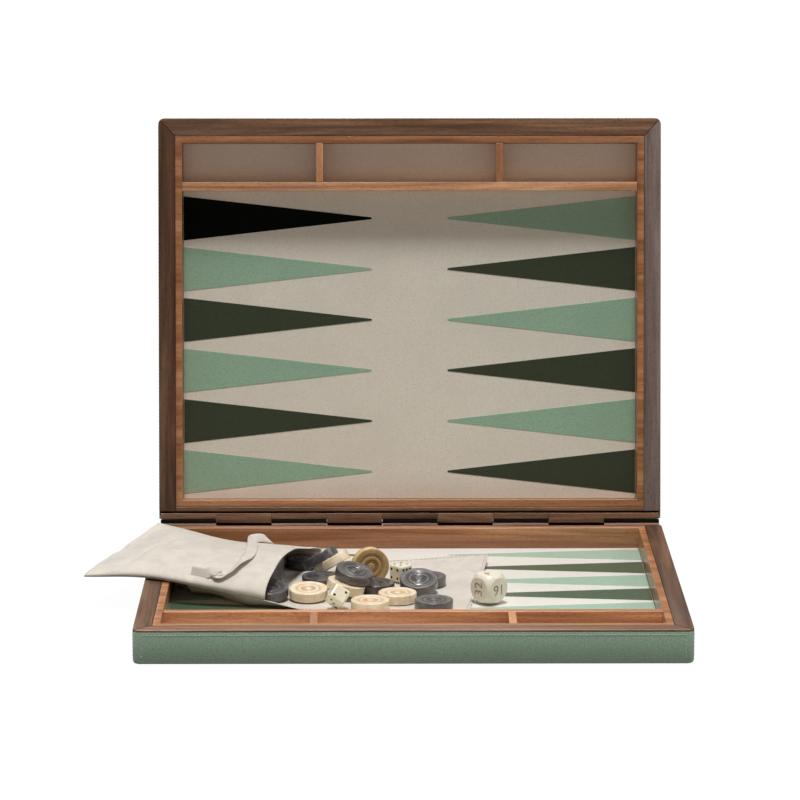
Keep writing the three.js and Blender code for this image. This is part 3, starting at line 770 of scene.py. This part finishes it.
# ---- dice and doubling cube ------------------------------------------


def face_axes(node):
    """A cube's three face directions, as the columns of a rotation: X most to the right, Z most upwards."""
    normals = []
    for face in sorted(NODES[node].data.polygons, key=lambda f: -f.area):
        if all(abs(face.normal.dot(other)) < 0.5 for other in normals):
            normals.append(face.normal.copy())
    up = max(normals, key=lambda n: abs(n.z))
    normals.remove(up)
    across = max(normals, key=lambda n: abs(n.x))
    up = up if up.z > 0 else -up
    across = across if across.x > 0 else -across
    return Matrix((across, up.cross(across), up)).transposed()


def cube_size(node):
    axes = np.array(face_axes(node))
    points = node_points(node) @ axes
    return float(points[:, 0].max() - points[:, 0].min())


def rounded_cube(size, rounding, ball=2.0):
    """A cube as six dense grids: each point is the inner cube's nearest one, pushed out by the rounding.

    Its corners are cut by a ball, whose radius is given as a multiple of half the size.
    """
    half = size / 2
    inner = half - rounding
    steps = [half * (2 * i / CUBE_GRID - 1) for i in range(CUBE_GRID + 1)]
    shape = bmesh.new()
    for turn in FACE_TURNS.values():
        rows = []
        for a in steps:
            row = []
            for b in steps:
                spot = turn @ Vector((a, b, half))
                core = Vector(min(max(c, -inner), inner) for c in spot)
                skin = core + (spot - core).normalized() * rounding
                row.append(shape.verts.new(skin * min(1.0, ball * half / skin.length)))
            rows.append(row)
        for low, high in zip(rows, rows[1:]):
            for i in range(CUBE_GRID):
                shape.faces.new((low[i], high[i], high[i + 1], low[i + 1]))
    bmesh.ops.remove_doubles(shape, verts=shape.verts, dist=0.001 * MM)
    mesh = bpy.data.meshes.new("cube")
    shape.to_mesh(mesh)
    shape.free()
    return smooth(mesh)


# The turn from +Z to each face's outward direction.
FACE_TURNS = {
    "up": Matrix.Identity(4),
    "down": Matrix.Rotation(math.pi, 4, "X"),
    "right": Matrix.Rotation(math.pi / 2, 4, "Z") @ Matrix.Rotation(math.pi / 2, 4, "X"),
    "left": Matrix.Rotation(-math.pi / 2, 4, "Z") @ Matrix.Rotation(math.pi / 2, 4, "X"),
    "back": Matrix.Rotation(math.pi, 4, "Z") @ Matrix.Rotation(math.pi / 2, 4, "X"),
    "front": Matrix.Rotation(math.pi / 2, 4, "X"),
}
# Where each value's pips are on a face, in quarters of the die's size.
PIP_PLACES = {
    1: ((0, 0),),
    2: ((-1, -1), (1, 1)),
    3: ((-1, 1), (0, 0), (1, -1)),
    4: ((-1, -1), (-1, 1), (1, -1), (1, 1)),
    5: ((-1, -1), (-1, 1), (0, 0), (1, -1), (1, 1)),
    6: ((-1, -1), (0, -1), (1, -1), (-1, 1), (0, 1), (1, 1)),
}


def pip_cutter(size, values):
    shape = bmesh.new()
    ball = (PIP_R**2 + PIP_DEPTH**2) / (2 * PIP_DEPTH)
    for face, value in values.items():
        for across, upward in PIP_PLACES[value]:
            spot = Vector((across * size / 4, upward * size / 4, size / 2 + ball - PIP_DEPTH))
            place = FACE_TURNS[face] @ Matrix.Translation(spot)
            bmesh.ops.create_uvsphere(shape, u_segments=24, v_segments=16, radius=ball, matrix=place)
    mesh = bpy.data.meshes.new("pips")
    shape.to_mesh(mesh)
    shape.free()
    return smooth(mesh)


def add_die(node, values):
    """A die with cut pips; values gives the number on each face."""
    size = cube_size(node)
    whole = rounded_cube(size, DIE_ROUNDING)
    mesh = cut_out(whole, pip_cutter(size, values), IVORY, PIP_BLACK)
    place = Matrix.Translation(box_centre(node)) @ face_axes(node).to_4x4()
    piece = add_piece(node + "_pipped", mesh, body_of_node(node), [], place)
    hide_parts(node)


def numeral_cutter(size, numerals):
    """The numerals of all six faces as one solid, standing across the cube's skin."""
    shape = bmesh.new()
    for face, (text, turn) in numerals.items():
        curve = bpy.data.curves.new("numeral", "FONT")
        curve.body = text
        curve.size = UPPER_NUMERAL if face == "up" else NUMERAL
        curve.offset = NUMERAL_WEIGHT
        curve.extrude = ENGRAVING
        curve.align_x = "CENTER"
        curve.align_y = "CENTER"
        written = bpy.data.objects.new("numeral", curve)
        bpy.context.scene.collection.objects.link(written)
        mesh = baked_mesh(written)
        bpy.data.objects.remove(written)
        lift = Matrix.Translation((0, 0, size / 2))
        mesh.transform(FACE_TURNS[face] @ lift @ Matrix.Rotation(turn, 4, "Z"))
        shape.from_mesh(mesh)
    bmesh.ops.remove_doubles(shape, verts=shape.verts, dist=0.001 * MM)
    mesh = bpy.data.meshes.new("numerals")
    shape.to_mesh(mesh)
    shape.free()
    return mesh


def add_doubling_cube():
    """Its numerals are turned as they lie in the set."""
    node = "doubling_cube"
    size = cube_size(node)
    numerals = {
        "up": ("64", math.pi),
        "down": ("2", 0.0),
        "left": ("32", math.pi / 2),
        "front": ("16", math.pi),
        "right": ("8", math.pi / 2),
        "back": ("4", 0.0),
    }
    whole = rounded_cube(size, CUBE_ROUNDING, CUBE_BALL)
    mesh = cut_out(whole, numeral_cutter(size, numerals), CUBE_RESIN, NUMERAL_BROWN)
    place = Matrix.Translation(box_centre(node)) @ face_axes(node).to_4x4()
    piece = add_piece(node + "_engraved", mesh, body_of_node(node), [], place)
    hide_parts(node)


# ---- the suede pouch -------------------------------------------------

# The seams in millimetres, from the closed end past the wall and the mouth to the end of the flap.
SUEDE_Z = (FIELD_HIGH.z + GAP) / MM
FRONT_SEAM = (
    (-308, -6, 30), (-250, -25, 34), (-205, -42, 31), (-137, -53, 19), (-104, -60, 12.5),
    (-68, -72, SUEDE_Z), (50, -88, SUEDE_Z),
)
REAR_SEAM = (
    (-248, 162, 40), (-222, 156, 35), (-170, 150, 23), (-87, 140, 18), (-50, 132, SUEDE_Z),
    (-22, 125, SUEDE_Z), (76, 119, 19),
)
MOUTH_AT = 0.5  # the mouth's share of each seam
SUEDE_SKIN = 0.75  # thickness of one layer, in millimetres
SHEET_SKIN = 0.95 * SUEDE_SKIN
INSIDE_REACH = 60.0  # how far apart two layers may be and still count as facing each other
FLAP_STITCH_STEPS = 240
FLAP_STITCH_INSET = 0.018
FLAP_STITCH_START = MOUTH_AT + 0.02
FLAP_STITCH_END = 0.9955
CRESTS = ((0.0, 42.0), (0.4, 45.5), (1.0, 44.0))  # the front panel's height along the pouch
CREST_SKEW = 0.65  # below 1 moves the crest towards the front seam
CREST_FULLNESS = 0.8
WALL_CLEAR_X = -219.0
FLOOR_X = -206.5
HANGING_X = -192.0  # from here to LYING_X the underside passes from hanging in the air to lying flat
LYING_X = -150.0
HANGING_ACROSS = 0.26
LYING_ACROSS = 0.06
REAR_HANGING_ACROSS = 0.09
RAISED_ALONG = 0.8  # the flap's rear corner curls up beyond these
RAISED_ACROSS = 0.55
BODY_ROWS = 110
FLAP_ROWS = 90
COLUMNS = 100
FOLD = 2.4
CREASES = ((0.16, 0.9), (0.62, 0.6))  # where two slanting creases run along the front panel, and their depths
TUCK_X = -150.0  # the pouch is split here into its body and its closed end


def spline_point(knots, share):
    """A point on a centripetal Catmull-Rom curve through the knots."""
    at = share * (len(knots) - 1)
    index = min(int(at), len(knots) - 2)
    weight = at - index
    p1, p2 = Vector(knots[index]), Vector(knots[index + 1])
    p0 = Vector(knots[index - 1]) if index > 0 else 2 * p1 - p2
    p3 = Vector(knots[index + 2]) if index + 2 < len(knots) else 2 * p2 - p1
    t0, t1, t2 = (math.sqrt((b - a).length) for a, b in ((p0, p1), (p1, p2), (p2, p3)))
    start = ((p1 - p0) / t0 - (p2 - p0) / (t0 + t1) + (p2 - p1) / t1) * t1
    end = ((p2 - p1) / t1 - (p3 - p1) / (t1 + t2) + (p3 - p2) / t2) * t1
    square, cube = weight**2, weight**3
    return (
        p1 * (2 * cube - 3 * square + 1)
        + start * (cube - 2 * square + weight)
        + p2 * (3 * square - 2 * cube)
        + end * (cube - square)
    )


def seam_point(along, across):
    return spline_point(FRONT_SEAM, along).lerp(spline_point(REAR_SEAM, along), across)


def blend_to(start, end, share):
    return start + (end - start) * share


def folds(along, across):
    """Soft folds and dents of the front panel, in millimetres: none at the seams."""
    full = fade(across, 0.0, 0.18) * fade(1 - across, 0.0, 0.18)
    broad = noise.noise(Vector((5.0 * along, 3.2 * across, 7.3)))
    fine = 0.35 * noise.noise(Vector((14.0 * along + 3.0 * across, 6.0 * across, 2.1)))
    slant = along - 0.33 * across
    creases = sum(depth * math.exp(-(((slant - at) / 0.033) ** 2)) for at, depth in CREASES)
    return FOLD * full * (1.4 * broad + fine - creases)


def back_point(along, across):
    """The back panel and the flap."""
    point = seam_point(along, across)
    hanging = blend_to(HANGING_ACROSS, LYING_ACROSS, fade(point.x, HANGING_X, LYING_X))
    full = fade(across, 0.0, hanging) * fade(1 - across, 0.0, REAR_HANGING_ACROSS)
    raised = fade(across, RAISED_ACROSS, 1.0) * fade(along, RAISED_ALONG, 1.0)
    drop = fade(point.x, WALL_CLEAR_X, FLOOR_X) * max(full - raised, 0.0)
    point.z = max(blend_to(point.z, SUEDE_Z, drop), SUEDE_Z)
    point.z += SUEDE_SKIN / 2
    if along > MOUTH_AT:
        ripple = 0.5 + 0.5 * noise.noise(Vector((9.0 * along, 4.0 * across, 11.0)))
        point.z += 0.9 * ripple * fade(along, 0.72, 0.95) * fade(abs(across - 0.5), 0.2, 0.5)
    return point


def crest_height(share):
    for (start, low), (end, high) in zip(CRESTS, CRESTS[1:]):
        if share <= end:
            return blend_to(low, high, fade(share, start, end))
    return CRESTS[-1][1]


def front_point(share, across):
    """The front panel, from the closed end at share 0 to the mouth at 1."""
    point = seam_point(share * MOUTH_AT, across)
    arch = max(math.sin(math.pi * across**CREST_SKEW), 0.0)
    rise = arch**CREST_FULLNESS * fade(share, -0.12, 0.25)
    point.z = blend_to(point.z, max(crest_height(share), point.z), rise)
    point.z += 1.5 * SUEDE_SKIN + folds(share, across)
    return point


def sheet(point_at, rows, columns):
    """A grid of points and quads over the unit square, facing up."""
    points = [point_at(r / rows, c / columns) * MM for r in range(rows + 1) for c in range(columns + 1)]
    wide = columns + 1
    faces = [
        (r * wide + c, (r + 1) * wide + c, (r + 1) * wide + c + 1, r * wide + c + 1)
        for r in range(rows)
        for c in range(columns)
    ]
    return points, faces


def thick_sheets(sheets, thickness, name):
    """One mesh of several sheets, each given its thickness."""
    points = []
    faces = []
    for sheet_points, sheet_faces in sheets:
        first = len(points)
        points += sheet_points
        faces += [tuple(first + i for i in face) for face in sheet_faces]
    scratch = bpy.data.objects.new(name, mesh_from(points, faces, name))
    bpy.context.scene.collection.objects.link(scratch)
    solid = scratch.modifiers.new("thickness", "SOLIDIFY")
    solid.thickness = thickness * MM
    solid.offset = 0.0
    mesh = baked_mesh(scratch)
    bpy.data.objects.remove(scratch)
    return smooth(mesh)


def part_of(mesh, keep_face, name):
    """The faces for which keep_face is true, with the whole mesh's normals, so that no seam shows."""
    normals = [v.normal.copy() for v in mesh.vertices]
    order = {}
    faces = []
    finishes = []
    for face in mesh.polygons:
        if keep_face(face.center):
            finishes.append(face.material_index)
            faces.append(tuple(order.setdefault(v, len(order)) for v in face.vertices))
    points = [mesh.vertices[v].co for v in order]
    half = smooth(mesh_from(points, faces, name))
    for face, finish in zip(half.polygons, finishes):
        face.material_index = finish
    half.normals_split_custom_set_from_vertices([normals[v] for v in order])
    return half


def paint_inside_shade(mesh):
    """Give the second finish, a dark suede that is painted shade, to the faces that look at another layer of the
    same mesh close by.
    """
    layers = BVHTree.FromPolygons([v.co for v in mesh.vertices], [tuple(f.vertices) for f in mesh.polygons])
    for face in mesh.polygons:
        start = face.center + face.normal * SUEDE_SKIN * MM
        hit = layers.ray_cast(start, face.normal, INSIDE_REACH * MM)[0]
        face.material_index = 0 if hit is None else 1


def add_pouch():
    """Two sheets as one mesh, split into the body and the closed end, both riding on the base."""
    back = sheet(back_point, BODY_ROWS + FLAP_ROWS, COLUMNS)
    front = sheet(front_point, BODY_ROWS, COLUMNS)
    whole = thick_sheets([back, front], SHEET_SKIN, "pouch")
    paint_inside_shade(whole)
    tuck = TUCK_X * MM
    body_mesh = part_of(whole, lambda c: c.x >= tuck, "pouch_body")
    end_mesh = part_of(whole, lambda c: c.x < tuck, "pouch_end")
    # The second finish is dark suede: painted shade for the pouch's inside.
    body = add_piece("pouch_body", body_mesh, "base", [SUEDE, SUEDE_PAINTED_SHADE])
    end = add_piece("pouch_closed_end", end_mesh, "base", [SUEDE, SUEDE_PAINTED_SHADE])
    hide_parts("pouch")
    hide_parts("pouch")
    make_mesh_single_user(end)


def surface_stitches(point_at, stations):
    """The places of stitches along a run of stations on a sheet, lying on its upper side."""
    lift = Vector((0, 0, 0.5 * SUEDE_SKIN))
    spots = [(point_at(*station) + lift) * MM for station in stations]
    places = []
    carried = 0.0
    for start, end in zip(spots, spots[1:]):
        carried += (end - start).length
        if carried >= STITCH_PITCH:
            carried = 0.0
            along = (end - start).normalized()
            outward = along.cross(Vector((0, 0, 1)).cross(along)).normalized()
            places.append((end, along, outward))
    return places


def stitch_flap():
    """A row of stitches inside the flap's three free edges."""
    shares = [i / FLAP_STITCH_STEPS for i in range(FLAP_STITCH_STEPS + 1)]
    near, far = FLAP_STITCH_INSET, 1 - FLAP_STITCH_INSET
    along = [blend_to(FLAP_STITCH_START, FLAP_STITCH_END, share) for share in shares]
    across = [blend_to(near, far, share) for share in shares]
    places = surface_stitches(back_point, [(a, near) for a in along])
    places += surface_stitches(back_point, [(a, far) for a in along])
    places += surface_stitches(back_point, [(FLAP_STITCH_END, c) for c in across])
    add_piece("pouch_flap_stitches", stitch_mesh(places, "flap_stitches"), "base", [SUEDE_THREAD])


STRAP_WIDTH = 10.5
STRAP_FLARE = 2.5  # the free end is this much wider
STRAP_FLARE_TO = 0.3  # the share of its length where the widening ends
STRAP_SKIN = 1.1
STRAP_STEPS = 140
STRAP_COLUMNS = 6
TURN_SPACING = 10.0  # keeps the turn's curve even between the knots
# The tie strap's path over the front panel: share along, share across, lift above it, and the band's turn.
STRAP_PATH = (
    (0.648, 0.05, 1.8, -64), (0.675, 0.048, 2.0, -66), (0.70, 0.045, 2.2, -66), (0.725, 0.045, 3.2, -60),
    (0.745, 0.05, 5.0, -48), (0.762, 0.052, 5.4, -32), (0.775, 0.045, 3.8, -14), (0.79, 0.045, 2.4, 5),
    (0.812, 0.07, 2.6, 24), (0.832, 0.13, 3.2, 36), (0.85, 0.26, 2.4, 5), (0.84, 0.40, 1.8, -10),
    (0.80, 0.62, 2.4, -20), (0.785, 0.73, 4.6, -35), (0.80, 0.78, 5.6, -40), (0.815, 0.82, 5.0, -40),
    (0.82, 0.88, 2.6, -30),
)


def strap_place(share):
    """The middle of the strap at a share of its length."""
    knots = [Vector((a, c, lift)) for a, c, lift, _ in STRAP_PATH]
    at = spline_point(knots, share)
    point = front_point(at.x, min(max(at.y, 0.0), 1.0))
    point.z += at.z
    return point


def strap_point(share, across):
    """A point of the band: off its middle line by its width, and turned as the path says."""
    step = 0.004
    here = strap_place(share)
    ahead = strap_place(min(share + step, 1.0))
    behind = strap_place(max(share - step, 0.0))
    along = (ahead - behind).normalized()
    sideways = along.cross(Vector((0, 0, 1))).normalized()
    turns = [(turn, TURN_SPACING * i, 0) for i, (*_, turn) in enumerate(STRAP_PATH)]
    angle = math.radians(spline_point(turns, share).x)
    lifted = sideways.cross(along)
    sideways = sideways * math.cos(angle) + lifted * math.sin(angle)
    width = STRAP_WIDTH + STRAP_FLARE * (1 - fade(share, 0.0, STRAP_FLARE_TO))
    return here + sideways * (across - 0.5) * width


def add_strap():
    band = sheet(strap_point, STRAP_STEPS, STRAP_COLUMNS)
    mesh = thick_sheets([band], STRAP_SKIN, "strap")
    strap = add_piece("pouch_tie_strap_band", mesh, "base", [SUEDE_STRAP])
    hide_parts("pouch_tie_strap")


# ---- floor, light and camera -----------------------------------------

FLOOR_BOUNCE = 0.3  # what the floor gives back to the object
FLOOR_SHADE = 0.08  # how much of a shadow on it the camera sees
FLOOR_GLOW = 0.97
FLOOR_REACH = 40.0
WORLD_COLOR = (1.0, 0.92, 0.8, 1.0)
WORLD_STRENGTH = 0.13
# Each sun's name, strength, spread, tilt off the vertical and turn about it, the last three in degrees.
SUNS = (
    ("overhead", 2.75, 11, 9.4, 0),
    ("right_side", 0.55, 30, 50, 90),
    ("left_side", 0.2, 30, 50, -90),
    ("behind", 0.8, 30, 40, 180),
)
CAMERA_PLACE = (-0.0283, -3.2803, 0.8801)
CAMERA_DIP = 11.74  # degrees below the horizon
CAMERA_TURN = -0.302
CAMERA_LENS = 161.59


def add_floor():
    """A white table that the camera sees as studio white, and that reflects less light than it shows."""
    corners = [(FLOOR_REACH * x, FLOOR_REACH * y, 0) for x, y in ((-1, -1), (1, -1), (1, 1), (-1, 1))]
    mesh = mesh_from(corners, [(0, 1, 2, 3)])
    floor = bpy.data.objects.new("floor", mesh)
    bpy.context.scene.collection.objects.link(floor)
    finish = Finish("floor_white", 0.9)
    finish.set("Specular IOR Level", 0.0)
    seen = finish.node("LightPath", {}).outputs["Is Camera Ray"]
    shade = finish.span(seen, 0.0, 1.0, FLOOR_BOUNCE, FLOOR_SHADE)
    grey = finish.node("CombineColor", {"Red": shade, "Green": shade, "Blue": shade})
    finish.set("Base Color", grey.outputs["Color"])
    finish.set("Emission Color", (1.0, 1.0, 1.0, 1.0))
    finish.set("Emission Strength", finish.span(seen, 0.0, 1.0, 0.0, FLOOR_GLOW))
    mesh.materials.append(finish.material)


def add_sun(name, strength, spread, tilt, turn):
    """A soft light as wide as `spread` degrees, from `tilt` degrees off the vertical."""
    light = bpy.data.lights.new(name, "SUN")
    light.energy = strength
    light.angle = math.radians(spread)
    holder = bpy.data.objects.new(name, light)
    bpy.context.scene.collection.objects.link(holder)
    holder.rotation_euler = (math.radians(tilt), 0, math.radians(turn))


def add_light():
    world = bpy.data.worlds.new("studio")
    bpy.context.scene.world = world
    world.use_nodes = True
    background = world.node_tree.nodes["Background"]
    background.inputs["Color"].default_value = WORLD_COLOR
    background.inputs["Strength"].default_value = WORLD_STRENGTH
    for sun in SUNS:
        add_sun(*sun)
    bpy.context.scene.view_settings.view_transform = "Standard"


def add_camera():
    data = bpy.data.cameras.new("camera")
    data.sensor_width = 36.0
    data.lens = CAMERA_LENS
    camera = bpy.data.objects.new("camera", data)
    bpy.context.scene.collection.objects.link(camera)
    camera.location = CAMERA_PLACE
    camera.rotation_euler = (math.radians(90 - CAMERA_DIP), 0, math.radians(CAMERA_TURN))
    bpy.context.scene.camera = camera


# ---- the whole set ---------------------------------------------------

for tray_name in TRAYS:
    dress_tray(tray_name)
repaint("hinge_pin", STEEL)
add_checkers()
add_die("die_1", {"front": 2, "back": 5, "down": 3, "up": 4, "left": 1, "right": 6})
add_die("die_2", {"up": 5, "down": 2, "left": 4, "right": 3, "front": 6, "back": 1})
add_doubling_cube()
add_pouch()
stitch_flap()
add_strap()
add_floor()
add_light()
add_camera()
